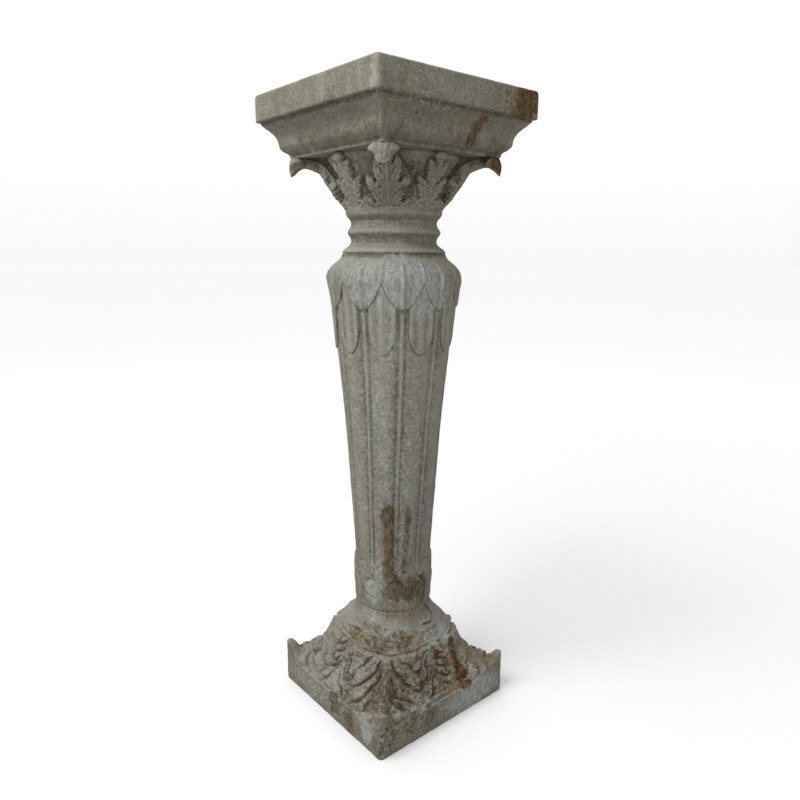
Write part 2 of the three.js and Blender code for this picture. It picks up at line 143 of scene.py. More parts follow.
class Skin:
    """Collects grids of points into one mesh, with how much soiling and painted shade each point takes,
    below zero lighter, partly wear and partly painted highlight.
    """

    def __init__(self):
        self.points = []
        self.shading_and_soiling_parts = []
        self.quads = []
        self.fans = []
        self.count = 0

    def grid(self, points, shading_and_soiling, flip=False):
        """A closed tube: rows of rings of equal count, with both ends shut."""
        rows, columns = points.shape[:2]
        index = self.count + np.arange(rows * columns).reshape(rows, columns)
        here = index[:-1]
        beside = np.roll(here, -1, axis=1)
        above = index[1:]
        across = np.roll(above, -1, axis=1)
        order = [here, above, across, beside] if flip else [here, beside, across, above]
        self.quads.append(np.stack(order, axis=-1).reshape(-1, 4))
        low, high = list(index[0]), list(index[-1])
        self.fans.append(low if flip else low[::-1])
        self.fans.append(high[::-1] if flip else high)
        self.points.append(points.reshape(-1, 3))
        self.shading_and_soiling_parts.append(np.broadcast_to(shading_and_soiling, points.shape[:2]).reshape(-1))
        self.count += rows * columns

    def mesh(self, name, rough):
        """The finished object, roughened along its normals by rough millimetres."""
        points = np.concatenate(self.points)
        faces = [tuple(quad) for quad in np.concatenate(self.quads).tolist()]
        faces += [tuple(fan) for fan in self.fans]
        data = bpy.data.meshes.new(name)
        data.from_pydata(points.tolist(), [], faces)
        normals = np.empty(len(points) * 3, np.float32)
        data.vertex_normals.foreach_get("vector", normals)
        normals = normals.reshape(-1, 3).astype(float)
        swell = 0.55 * lattice_noise(points, 17.0, 3) + 0.45 * lattice_noise(points, 6.5, 5)
        grit = lattice_noise(points, 2.6, 7)
        points = points + normals * (rough * (0.75 * swell + 0.35 * grit))[:, None]
        half = SLAB_SIDE / 2 - 0.2
        points[:, :2] = np.clip(points[:, :2], -half, half)
        points[:, 2] = np.clip(points[:, 2], 0.0, TOTAL_HEIGHT)
        data.vertices.foreach_set("co", (points * MM).astype(np.float32).ravel())
        # Soiling and painted shade per point, painted highlight where it is below zero
        attribute = data.attributes.new("shading_and_soiling", "FLOAT", "POINT")
        attribute.data.foreach_set("value", np.concatenate(self.shading_and_soiling_parts).astype(np.float32))
        data.shade_smooth()
        data.set_sharp_from_angle(angle=math.radians(50))
        data.update()
        piece = bpy.data.objects.new(name, data)
        bpy.context.scene.collection.objects.link(piece)
        return piece, points


def turned(points, angle):
    """Points turned about the column's axis, in degrees."""
    turn = math.radians(angle)
    x = points[..., 0] * math.cos(turn) - points[..., 1] * math.sin(turn)
    y = points[..., 0] * math.sin(turn) + points[..., 1] * math.cos(turn)
    return np.stack([x, y, points[..., 2]], axis=-1)


def square_grid(profile, side_points=56, corner_points=5):
    """Rings with rounded corners for (half side, height, corner radius) rows."""
    bend = np.radians(np.linspace(0, 90, corner_points))
    share = np.arange(1, side_points) / side_points
    rows = []
    for half, height, radius in profile:
        middle = half - radius
        x = np.concatenate([middle + radius * np.cos(bend), mix(middle, -middle, share)])
        y = np.concatenate([middle + radius * np.sin(bend), np.full(share.shape, half)])
        quarter = np.stack([x, y, np.full(x.shape, height)], axis=-1)
        rows.append(np.concatenate([turned(quarter, angle) for angle in (0, 90, 180, 270)]))
    return np.array(rows)


def path_frames(path, steps=400):
    """Evenly spaced points of a path in the (reach, height) plane, and its slope."""
    knots = np.array(path, float)
    chords = np.concatenate([[0], np.cumsum(np.hypot(*np.diff(knots, axis=0).T) ** 0.5)])
    along = np.linspace(0, chords[-1], steps)
    reach = curve_through(list(zip(chords, knots[:, 0])))(along)
    height = curve_through(list(zip(chords, knots[:, 1])))(along)
    length = np.concatenate([[0], np.cumsum(np.hypot(np.diff(reach), np.diff(height)))])
    share = length / length[-1]

    def at(t):
        spot = np.clip(t, 0.0, 1.0)
        step = 0.004
        ahead, behind = np.clip(spot + step, 0, 1), np.clip(spot - step, 0, 1)
        x, z = np.interp(spot, share, reach), np.interp(spot, share, height)
        dx = np.interp(ahead, share, reach) - np.interp(behind, share, reach)
        dz = np.interp(ahead, share, height) - np.interp(behind, share, height)
        size = np.hypot(dx, dz)
        return x, z, dx / size, dz / size

    return at


def acanthus(along, across, lobes, stem, lobe_height):
    """Relief of an acanthus leaf in millimetres, and how far it covers a point.

    Along runs up the stem and across from it. Each lobe starts on the stem and
    runs outwards at an angle, crowned, with a vein and a raised tip. A lobe is
    (start, angle, length, half width, tip lift)."""
    aside = np.abs(across)
    relief = np.zeros(np.broadcast(along, across).shape)
    cover = np.zeros_like(relief)
    crease = np.zeros_like(relief)
    for start, angle, length, half, tip in lobes:
        turn = math.radians(angle)
        run = (along - start) * math.cos(turn) + aside * math.sin(turn)
        off = aside * math.cos(turn) - (along - start) * math.sin(turn)
        share = np.clip(run / length, 0.0, 1.0)
        off = off - 0.10 * length * share**2 + 0.04 * length * share
        tooth = (run / TOOTH_LENGTH) % 1.0
        serrated = 1 - 0.34 * (1 - tooth) ** 1.3 * smooth(share, 0.12, 0.35)
        swell = 0.35 + 0.65 * np.sin(np.pi * np.minimum(share * 0.62 + 0.12, 0.5))
        width = half * swell * (1 - share**4) ** 0.7 * serrated
        across_share = np.clip(np.abs(off) / np.maximum(width, 0.05), 0.0, 1.5)
        inside = 1 - smooth(across_share, 0.86, 1.12)
        inside = inside * smooth(run, -2.0, 2.0) * (1 - smooth(run, length - 1.0, length + 0.6))
        fold = np.cos(2 * np.pi * (run / TOOTH_LENGTH - 0.8 * across_share))
        leaflet = 0.13 * fold * smooth(across_share, 0.1, 0.45) * smooth(share, 0.1, 0.3)
        crown = (1 - np.minimum(across_share, 1.0) ** 2) ** 0.6
        height = lobe_height * (0.42 + 0.58 * crown + leaflet) + tip * share**2 - 0.05 * start
        vein = hump(off, 0.0, 1.1) * smooth(share, 0.0, 0.15)
        height = height - 1.1 * vein
        better = (inside * height) > relief
        crease = np.where(better, 0.8 * vein + smooth(across_share, 0.7, 1.0) * 0.7, crease)
        relief = np.maximum(relief, inside * height)
        cover = np.maximum(cover, inside)
    width, height = stem
    middle = height * (1 - smooth(aside, width * 0.75, width * 1.15))
    middle = middle * (1 - 0.28 * hump(aside, width * 0.5, width * 0.16))
    better = middle > relief
    crease = np.where(better, 0.9 * hump(aside, width * 0.5, width * 0.2), crease)
    relief = np.maximum(relief, middle)
    cover = np.maximum(cover, 1 - smooth(aside, width * 0.85, width * 1.2))
    return relief, cover, crease


def lobed_ground(fields, height, crease_width):
    """Relief of lobes that fill the ground between stems. Each field is the
    along, the across, and the lobes of one leaf, as in acanthus."""
    shape = np.broadcast(*fields[0][:2]).shape
    nearest = second = np.full(shape, 1e3)
    lift = side = extent = np.zeros(shape)
    for along, across, lobes in fields:
        aside = np.abs(across)
        for start, angle, length, half, tip in lobes:
            turn = math.radians(angle)
            run = (along - start) * math.cos(turn) + aside * math.sin(turn)
            off = aside * math.cos(turn) - (along - start) * math.sin(turn)
            share = np.clip(run / length, 0.0, 2.0)
            off = off - 0.12 * length * np.minimum(share, 1) ** 2
            off = off + 1.2 * np.sign(across) * np.sin(run / FINGER_LENGTH)
            beyond = np.maximum(share - 1.0, 0.0) * length
            before = np.maximum(-run, 0.0)
            score = np.sqrt((off / half) ** 2 + (beyond / half) ** 2 + (before / half) ** 2)
            closer = score < nearest
            second = np.where(closer, nearest, np.minimum(second, score))
            lift = np.where(closer, tip * np.minimum(share, 1), lift)
            side = np.where(closer, off / half, side)
            extent = np.where(closer, run, extent)
            nearest = np.where(closer, score, nearest)
    edge = smooth(second - nearest, 0.0, crease_width)
    dome = 1 - np.clip(nearest, 0, 1.6) ** 2 / 2.6
    fold = np.cos(2 * np.pi * (extent / FINGER_LENGTH + 0.8 * np.abs(side)))
    fingers = 0.10 * fold * smooth(np.abs(side), 0.25, 0.7)
    relief = height * (0.25 + 0.5 * dome + fingers) * (0.3 + 0.7 * edge) + lift * edge
    vein = hump(side, 0.0, 0.12)
    relief = relief - 0.8 * vein
    return relief, np.clip(1.0 - edge, 0, 1) * 0.9 + 0.4 * vein


def leaf(
    skin, angles, path, half_width, lobes, stem, lobe_height, depth, droop, body, share, wrap, rows,
    columns=81, edge=4.0,
):
    """A leaf whose face carries acanthus relief and sinks by depth between its
    lobes. It follows a path in a vertical plane and has a body behind it."""
    at = path_frames(path)
    knots = np.array(path, float)
    length = np.hypot(*np.diff(knots, axis=0).T).sum()
    t = np.linspace(0.0, 1.0, rows)[:, None]
    u = np.linspace(-1.0, 1.0, columns)[None, :]
    outline = half_width(t)

    def face(u, lift_by):
        """Points of the face at shares u of the half width, lifted off it."""
        outer = np.abs(u)
        x, z, dx, dz = at(t + 0 * u)
        y = u * outline
        raise_by = lift_by - droop(t) * outer**2
        inside = np.maximum(x**2 - y**2, 0.0)
        back = wrap(t) * (x - np.sqrt(inside))
        return np.stack([x + dz * raise_by - back, y + 0 * x, z - dx * raise_by], axis=-1)

    relief, cover, crease = acanthus(t * length, u * outline, lobes, stem, lobe_height)
    sunk = mix(relief - depth(t) * (1 - cover), -0.8 * depth(t), smooth(np.abs(u), 0.84, 1.0))
    front = face(u, sunk)
    # Painted shade between the lobes and in the creases, painted highlight on the crests
    crest = smooth(relief, 0.5 * lobe_height, lobe_height + 1.5)
    shading_and_soiling = np.clip(1 - cover + 0.7 * crease - 0.5 * crest, -1, 1)

    ends = []
    for sign in (1.0, -1.0):
        full, inner = np.array([[sign]]), np.array([[sign * share]])
        low = -0.8 * depth(t)
        rim = [
            face(full * 0.985, low - edge * 0.5),
            face(full * 0.93, low - edge),
            face(inner, low - edge * 1.15),
            face(inner, -np.maximum(body(t), depth(t) + edge * 1.4)),
        ]
        ends.append(rim if sign > 0 else rim[::-1])
    ring = np.concatenate([front, *ends[0], *ends[1]], axis=1)
    # Painted shade on the leaf's rim and back
    rim_shade = np.broadcast_to([0.3, 0.7, 0.9, 0.9], (rows, 4))
    shade = np.concatenate([shading_and_soiling, rim_shade, rim_shade[:, ::-1]], axis=1)
    ring[..., 2] += CAPITAL_FLOOR
    for angle in angles:
        skin.grid(turned(ring, angle), shade)


def curled_head(
    skin, angles, outline, centre, half_width, lobe_drop, roundness=2.4, waist=0.55, sections=49,
    points=72,
):
    """The rolled-over end of a leaf: a section in the leaf's plane that shrinks
    towards both sides, with a lobed lower lip."""
    reach = path_frames(outline + outline[:1])
    x, z, _, _ = reach(np.linspace(0, 1, points, endpoint=False))
    rings = []
    shades = []
    for s in np.linspace(-0.985, 0.985, sections):
        size = (1 - abs(s) ** roundness) ** 0.5
        notch = hump(abs(s), 0.4, 0.11)
        low = 1 - smooth(z - centre[1], -6, 5)
        outward = smooth(x - centre[0], 0, 10)
        px = centre[0] + (x - centre[0]) * size - (0.7 * notch + 0.5 * hump(s, 0, 0.07)) * outward
        pz = centre[1] + (z - centre[1]) * mix(size, 1, 0.2) - 2.0 * s**2
        pz = pz + lobe_drop * (notch - hump(s, 0, 0.3)) * low
        narrowed = mix(1.0, waist, smooth(centre[1] - z, -5, 14))
        rings.append(np.stack([px, half_width * s * narrowed, pz + CAPITAL_FLOOR], axis=-1))
        # Painted shade in the lip's notches and down the middle, painted highlight on the upper outer curl
        shades.append(0.75 * notch * outward + 0.4 * hump(s, 0, 0.07) - 0.5 * outward * (1 - low) - 0.15)
    for angle in angles:
        skin.grid(turned(np.array(rings), angle), np.array(shades), flip=True)


def square_reach(angle, half, radius):
    """Distance from the axis to a square with rounded corners, by direction."""
    folded = np.abs((angle + np.pi / 4) % (np.pi / 2) - np.pi / 4)
    flat = half / np.cos(folded)
    middle = half - radius
    toward = middle * (np.cos(folded) + np.sin(folded))
    rounded = toward + np.sqrt(np.maximum(radius**2 - 2 * middle**2 + toward**2, 0.0))
    return np.where(half * np.tan(folded) > middle, rounded, flat)


# Base: one skin from the underside over the plinth's rim, leaves and collar
def foot_line(knots, v):
    """Reach and height down one line of the foot, and the run from the leaves' heads."""
    reach, height = (curve_through([(knot[0], knot[i]) for knot in knots]) for i in (1, 2))
    fine = np.linspace(0, 1, 400)
    run = np.concatenate([[0], np.cumsum(np.hypot(np.diff(reach(fine)), np.diff(height(fine))))])
    return reach(v), height(v), np.interp(v, fine, run) - np.interp(LEAF_HEAD, fine, run)


def foot_carving(corner_run, corner_across, face_run, face_across, noise):
    """Relief of the lobes and stems of the foot's leaves, and its creases."""
    warp_along = 6.0 * noise(26.0, 21) + 2.2 * noise(10.0, 22)
    warp_across = 5.0 * noise(24.0, 23) + 2.0 * noise(9.0, 24)
    relief, crease = lobed_ground(
        [
            (corner_run - 4 + warp_along, corner_across + warp_across, [
                (-22, 47, 74, 11, 2.0), (-16, 32, 92, 11, 3.0), (-4, 20, 98, 9, 3.0), (2, 9, 92, 7, 2.5),
                (44, 30, 58, 10, 3.0), (56, 17, 60, 8, 3.0), (92, 20, 32, 8, 1.5),
            ]),
            (face_run - 4 + warp_along, face_across + warp_across, [
                (-10, 44, 36, 8, 1.5), (-2, 26, 58, 9, 2.5), (6, 12, 52, 7, 2.5), (34, 27, 38, 8, 2.5),
                (50, 14, 30, 7, 2.0),
            ]),
        ],
        8.6, 0.62,
    )
    for run, across, width, rise in (
        (corner_run, corner_across, 7.5, 7.6), (face_run, face_across, 6.5, 6.8),
    ):
        aside = np.abs(across)
        furrow = width * 0.48
        stem = rise * (1 - smooth(aside, width * 0.7, width * 1.25))
        stem = stem * (1 - 0.3 * hump(aside, furrow, width * 0.14))
        crease = np.where(stem > relief, 0.9 * hump(aside, furrow, width * 0.18), crease)
        crease = np.maximum(crease, 0.8 * hump(aside, width * 1.2, 1.6) * smooth(run, 6, 20))
        relief = np.maximum(relief, stem)
    return relief, crease


def away_from(line, angle, height):
    """Distance over the collar's skin to a line of (angle, height) points."""
    nearest = np.full(height.shape, 1e3)
    turn = (np.degrees(angle)[None, :] + 180) % 360 - 180
    for (turn_a, z_a), (turn_b, z_b) in zip(line, line[1:]):
        run = np.array([math.radians(turn_b - turn_a) * COLLAR_RADIUS, z_b - z_a])
        x = np.radians(turn - turn_a) * COLLAR_RADIUS
        z = height - z_a
        share = np.clip((x * run[0] + z * run[1]) / (run @ run), 0, 1)
        nearest = np.minimum(nearest, np.hypot(x - share * run[0], z - share * run[1]))
    return nearest


def plinth_sides(rim, top):
    """Reach and height of the plinth's rings, rounded at the foot and under the rim."""
    foot = ((1.6, 0.0), (0.5, 0.7), (0.0, 2.2))
    rings = [(rim - inset, np.full(rim.shape, level)) for inset, level in foot]
    rings += [(rim, top * share) for share in np.linspace(0.1, 0.94, 14)]
    rings.append((rim - 0.1, top - 0.8))
    return np.array([reach for reach, _ in rings]), np.array([height for _, height in rings])


def base_piece():
    columns = 480
    angle = np.arange(columns) / columns * 2 * np.pi
    from_corner = (angle % (np.pi / 2)) - np.pi / 4
    from_face = (angle + np.pi / 4) % (np.pi / 2) - np.pi / 4
    half = PLINTH_SIDE / 2
    rim = square_reach(angle, half, 7.0)
    corner_reach = rim.max()

    # Lines down the foot as (share of the way, reach, height)
    corner = [
        (0, 63, BASE_HEIGHT), (0.06, 64.5, 168), (0.12, 69.0, 160), (0.2, 77.5, 150), (0.26, 86, 142),
        (0.32, 95, 133), (0.38, 101.5, 124.5), (0.44, 105, 116), (0.5, 108, 107), (0.56, 112, 98.5),
        (0.62, 117, 90), (0.68, 125, 81), (0.76, 139, 69), (0.84, 157, 59), (0.90, 171, 53.5),
        (0.95, 184, 50), (1, corner_reach, PLINTH_HEIGHT),
    ]
    face = [
        (0, 63, BASE_HEIGHT), (0.06, 64.3, 168), (0.12, 67.5, 160), (0.2, 72.5, 150), (0.26, 78, 142),
        (0.32, 84, 133), (0.38, 88, 124.5), (0.44, 90.5, 116), (0.5, 93, 107), (0.56, 96, 98.5),
        (0.62, 99.5, 89.5), (0.68, 104, 80), (0.76, 112, 69), (0.84, 121, 59), (0.90, 128.5, 52),
        (0.95, 134, 48), (1, half, PLINTH_HEIGHT - 1),
    ]
    v = np.concatenate([np.linspace(0, 0.36, 42, endpoint=False), np.linspace(0.36, 1, 144)])[::-1][:, None]
    corner_out, corner_height, corner_run = foot_line(corner, v)
    face_out, face_height, face_run = foot_line(face, v)
    rounded = (1 - np.cos(4 * angle)) / 2
    cornerness = (rim - half) / (corner_reach - half)
    squareness = mix(rounded[None, :], cornerness[None, :], smooth(v, 0.42, 0.8))
    radius = mix(face_out, corner_out, squareness)
    height = mix(face_height, corner_height, squareness)
    place = np.stack([radius * np.cos(angle), radius * np.sin(angle), height], axis=-1).reshape(-1, 3)

    def noise(size, seed):
        return lattice_noise(place, size, seed).reshape(radius.shape)

    relief, crease = foot_carving(corner_run, from_corner * radius, face_run, from_face * radius, noise)
    crust = noise(15.0, 11) + 0.8 * noise(7.0, 12) + 0.5 * noise(3.6, 13)
    keep = smooth(noise(13.0, 14), -0.5, 0.35)
    relief = relief + 2.1 * crust
    crease = crease * mix(0.35, 1.0, keep)
    short_of_rim = rim[None, :] - radius
    tips = 5.5 - 3.5 * smooth(relief, 4.0, 10.0)
    relief = relief * smooth(short_of_rim, tips - 3.2, tips + 2.4)
    crease = np.maximum(crease, 0.9 * hump(short_of_rim, tips - 1.5, 1.6))
    head = smooth(v, LEAF_HEAD, LEAF_HEAD + 0.035)
    relief = relief * head

    # Bands round the collar, each with a groove under it
    wobble = 0.010 * np.sin(3 * angle + 0.7)[None, :] + 0.010 * noise(20.0, 31) + 0.006 * noise(7.0, 32)
    upper = v - COLLAR_RING - wobble
    lower = v - LEAF_HEAD - wobble
    bands = 1.6 * hump(upper, -0.012, 0.016) - 1.3 * hump(upper, 0.012, 0.010)
    bands = bands + 2.2 * hump(lower, -0.014, 0.018) - 1.2 * hump(lower, 0.012, 0.010)
    bands = bands * mix(0.15, 1.0, keep) + 0.9 * hump(v, 0.03, 0.02)

    # A ragged edge of old filler on the collar, and two seams down it
    filler_edge = [(15.6, 177), (21.5, 171), (26.0, 162), (25.4, 153), (17.3, 146), (4, 148)]
    edge_line = away_from(filler_edge, angle, height)
    seams = ([(-47.4, 177), (-47.0, 163)], [(-12.2, 177), (-13.4, 157)])
    seam = np.minimum(*(away_from(line, angle, height) for line in seams))
    worn = 1.8 * hump(edge_line, 2.8, 1.7) - 1.5 * hump(edge_line, 0.0, 1.7) - 1.3 * hump(seam, 0.0, 1.0)

    # The skin is lifted along its normals, and the plinth's corners rise as horns
    lift = relief + bands + worn + 1.5 * crust * smooth(v, 0.2, 0.3) * (1 - head)
    slope_r = np.gradient(radius, axis=0)
    slope_z = np.gradient(height, axis=0)
    size = np.hypot(slope_r, slope_z)
    radius_out = radius + lift * slope_z / size
    height_out = height - lift * slope_r / size
    horn_side = np.abs(from_corner) * radius
    horn = (1 - smooth(horn_side, 6.0, 17.0)) * smooth(radius, corner_reach - 29, corner_reach - 9)
    notch = hump(radius, corner_reach - 32, 9.0) * (1 - smooth(horn_side, 8.0, 22.0))
    height_out = mix(height_out - 4.0 * notch, PLINTH_HEIGHT + HORN_HEIGHT - 2.5, horn)
    radius_out = np.minimum(radius_out, rim[None, :] - 0.15)

    # Soiling with painted shade in the creases, the grooves under the bands and along the filler edge,
    # painted highlight on the raised lobes and crust; the seams are dark joint lines
    shading_and_soiling = 0.35 * crease * head - 0.25 * smooth(relief, 6, 10) - 0.42 * crust * smooth(v, 0.2, 0.3)
    grooves = hump(upper, 0.012, 0.012) + hump(lower, 0.014, 0.012)
    shading_and_soiling = shading_and_soiling + 0.6 * grooves * mix(0.3, 1.0, keep)
    shading_and_soiling = np.clip(shading_and_soiling + 1.7 * hump(edge_line, 0.0, 2.0) + 0.8 * hump(seam, 0.0, 1.2), -1, 1)

    side_radius, side_height = plinth_sides(rim, height_out[0])
    radius_all = np.concatenate([side_radius, radius_out])
    height_all = np.concatenate([side_height, height_out])
    shade = np.concatenate([np.zeros(side_radius.shape), shading_and_soiling])
    ring = np.stack([radius_all * np.cos(angle), radius_all * np.sin(angle), height_all], axis=-1)
    skin = Skin()
    skin.grid(ring, shade)
    return skin.mesh("cast_base", rough=0.8)


# Shaft: rows of points that follow the outlines of its leaves and tongues
class ShaftOrnament:
    """Outlines and relief all round the shaft, where aside is the turn in degrees from
    the nearest ridge and between the turn from the middle of the nearest panel."""

    def __init__(self, aside, half):
        self.aside, self.between = aside, half - aside
        self.in_gap = aside < half - TONGUE_HALF_TURN
        share = np.clip(self.between / TONGUE_HALF_TURN, 0, 1)
        self.upper = mix(UPPER_TONGUE_TIP, UPPER_TONGUE_NOTCH, (aside / half) ** 2.1)
        self.side = mix(LOWER_TONGUE_TIP, LOWER_TONGUE_SIDE, 1 - np.sqrt(1 - 0.985 * share**2))
        lower = np.where(self.in_gap, UPPER_TONGUE_TIP + 1.0, self.side)
        self.lower = np.minimum(lower, self.upper - 3.0)
        self.tall = mix(TALL_LEAF_TOP, TALL_LEAF_NOTCH, (self.between / half) ** 2)
        self.short = mix(SHORT_LEAF_TOP, SHORT_LEAF_NOTCH, (aside / half) ** 2)

    def panels(self, height):
        """Convex panels between narrow ridges with a groove on each side."""
        ridge = 1.0 * hump(self.aside, 0, 1.7)
        groove = -1.9 * hump(self.aside, 3.7, 1.35)
        panel = -1.3 * np.clip(self.between / 12.0, 0, 1) ** 2.5
        return (ridge + groove + panel) * smooth(height, 60, 110)

    def lower_tongues(self, height):
        across = self.between / TONGUE_HALF_TURN
        rise = height - self.side
        groove = -1.5 * hump(across, 0.42, 0.17) * smooth(rise, 5, 12)
        rim = 0.5 * hump(across, 0.82, 0.12) - 0.9 * smooth(across, 0.9, 1.02)
        tongue = 2.2 + groove + rim + 0.7 * hump(across, 0, 0.13) - 0.8 * (1 - smooth(rise, 0, 3))
        return np.where(self.in_gap, self.panels(height), tongue)

    def upper_tongues(self, height):
        fade = 1 - smooth(height, 552, 580)
        line_fade = 1 - smooth(height, 568, 585)
        rise = height - self.upper
        midrib = 2.0 * hump(self.aside, 0, 1.1) - 1.1 * hump(self.aside, 2.8, 1.3)
        cheeks = -1.5 * hump(self.aside, 8.5, 4.5) * smooth(rise, 4, 16)
        border = 1.7 * hump(self.between, 0, 1.1) - 1.1 * hump(self.between, 2.7, 1.2)
        brow = -0.9 * (1 - smooth(rise, 0, 3.5))
        lines = (midrib + border * smooth(height, 538, 550)) * line_fade
        return 3.6 * (0.3 + 0.7 * fade) + cheeks * fade + lines + brow

    def short_leaves(self, height):
        midrib = 0.9 * hump(self.aside, 0, 1.4) * smooth(height, 22, 32)
        return 3.3 * smooth(height, 14, 40) + midrib - 0.9 * (1 - smooth(self.short - height, 0, 3))

    def tall_leaves(self, height):
        midrib = 0.8 * hump(self.between, 0, 1.4)
        return 1.9 + midrib - 0.9 * (1 - smooth(self.tall - height, 0, 3))

    def rows(self):
        """Heights, relief and shade of each row of points, from the foot upwards."""
        flat = np.zeros(self.aside.shape)
        tall = np.maximum(self.tall, self.short + 2.2)
        rows = []

        def band(low, high, count, skin_at, shade):
            for step in range(count):
                height = mix(low, high, step / (count - 1))
                rows.append((height, skin_at(height), flat + shade))

        # A step under an edge, its shade value a painted shadow
        def ledge(height, relief):
            rows.append((height, relief, flat + 1.0))

        band(flat, self.short - 0.4, 26, self.short_leaves, 0.0)
        ledge(self.short + 0.2, flat - 0.9)
        band(self.short + 1.6, np.maximum(self.tall - 0.4, self.short + 2.0), 12, self.tall_leaves, 0.15)
        ledge(tall + 0.3, flat - 0.8)
        band(tall + 1.6, self.lower - 2.4, 62, self.panels, 0.0)
        ledge(self.lower - 0.5, self.panels(self.lower) - 1.0)
        band(self.lower, self.upper - 2.2, 22, self.lower_tongues, 0.0)
        ledge(self.upper - 0.5, self.lower_tongues(self.upper - 0.5) * 0.3 - 1.3)
        band(self.upper, flat + SHAFT_HEIGHT, 36, self.upper_tongues, 0.0)
        return (np.array(values) for values in zip(*rows))


def shaft_piece():
    taper = curve_through([
        (0, 63.4), (2.5, 65.3), (11, 66.2), (17, 66.2), (28, 64.6), (SHORT_LEAF_TOP, 65.0), (88, 64.6),
        (196, 71.4), (317, 79.7), (LOWER_TONGUE_TIP, 91), (UPPER_TONGUE_TIP, 97.2), (532, 100.3),
        (UPPER_TONGUE_NOTCH, SHAFT_SHOULDER_RADIUS), (559, 99.9), (569, 93.4), (578, 84.9),
        (SHAFT_HEIGHT, 81),
    ])
    per_tongue = 60
    period = 360 / TONGUE_COUNT
    half = period / 2
    place = np.arange(TONGUE_COUNT * per_tongue) / per_tongue * period
    aside = np.abs((place + half) % period - half)
    ornament = ShaftOrnament(aside, half)
    heights, relief, shades = ornament.rows()
    angle = np.radians(place[None, :] + ORNAMENT_TURN * smooth(heights, 80, LOWER_TONGUE_TIP))
    radius = taper(heights) + relief * smooth(SHAFT_HEIGHT - heights, 0, 14)
    # Painted shade where the relief sinks below the ring's mean and painted highlight where it rises, along
    # the ridges and on the tongue borders; at both ends a dark joint line with painted shadow
    local = relief - np.mean(relief, axis=1, keepdims=True)
    lines = hump(aside, 0, 1.5) * (smooth(heights, 88, 110) - smooth(heights, 535, 560))
    borders = hump(aside, 0, 0.9) + hump(half - aside, 0, 0.9)
    lines = lines + borders * smooth(heights - ornament.upper, 0, 8)
    joint = 1.2 * smooth(heights, SHAFT_HEIGHT - 7, SHAFT_HEIGHT - 2.5) + smooth(heights, 3.5, 0.5)
    shading_and_soiling = np.clip(shades + 0.8 * joint + np.clip(-local / 3.4, -0.55, 0.5) - 0.45 * lines, -1, 1)
    ring = np.stack([radius * np.cos(angle), radius * np.sin(angle), heights + SHAFT_FLOOR], axis=-1)
    skin = Skin()
    skin.grid(ring, shading_and_soiling)
    return skin.mesh("cast_shaft", rough=0.5)


# Capital: neck rings and bell, moulded slab, corner leaves and face leaves
def neck_and_bell(skin):
    outline = curve_through([
        (0, 80.6), (2.2, 81), (4, 80.3), (6.5, 77.8), (9.3, 73.5), (12.5, 69.6), (17.5, 67.2), (23, 68.0),
        (27, 70.4), (30, 72.4), (32, 72.8), (34, 72.4), (38, 69.6), (43, 67.4), (46, 67.2), (50, 68.2),
        (54, 71.6), (57, 74.0), (60, 75.0), (66, 75.2), (NECK_HEIGHT, 74.6),
        (78, 76), (98, 81), (120, 90), (SOFFIT - 8, BELL_LIP_RADIUS - 2), (SOFFIT - 4.5, BELL_LIP_RADIUS),
        (SOFFIT - 1, BELL_LIP_RADIUS), (SOFFIT + 2, BELL_LIP_RADIUS - 1),
    ])
    neck_levels = np.linspace(0, NECK_HEIGHT, 66)
    heights = np.concatenate([neck_levels, np.linspace(NECK_HEIGHT + 2, SOFFIT + 2, 30)])
    columns = 200
    angle = np.arange(columns) / columns * 2 * np.pi
    radius = outline(heights)[:, None] + 0 * angle[None, :]
    ring = np.stack([
        radius * np.cos(angle), radius * np.sin(angle),
        np.broadcast_to(heights[:, None] + CAPITAL_FLOOR, radius.shape),
    ], axis=-1)
    # Painted shade in the coves and on the bell above the neck, painted highlight on the rounded rings, and
    # at the foot a dark joint line with painted shadow
    bend = np.gradient(np.gradient(outline(heights), heights), heights)[:, None]
    shading_and_soiling = np.clip(bend * 3.0, -0.5, 0.8) + 1.2 * smooth(heights[:, None], 3.2, 0.8)
    shading_and_soiling = shading_and_soiling + 0.4 * smooth(heights[:, None], NECK_HEIGHT, NECK_HEIGHT + 12)
    skin.grid(ring, shading_and_soiling)


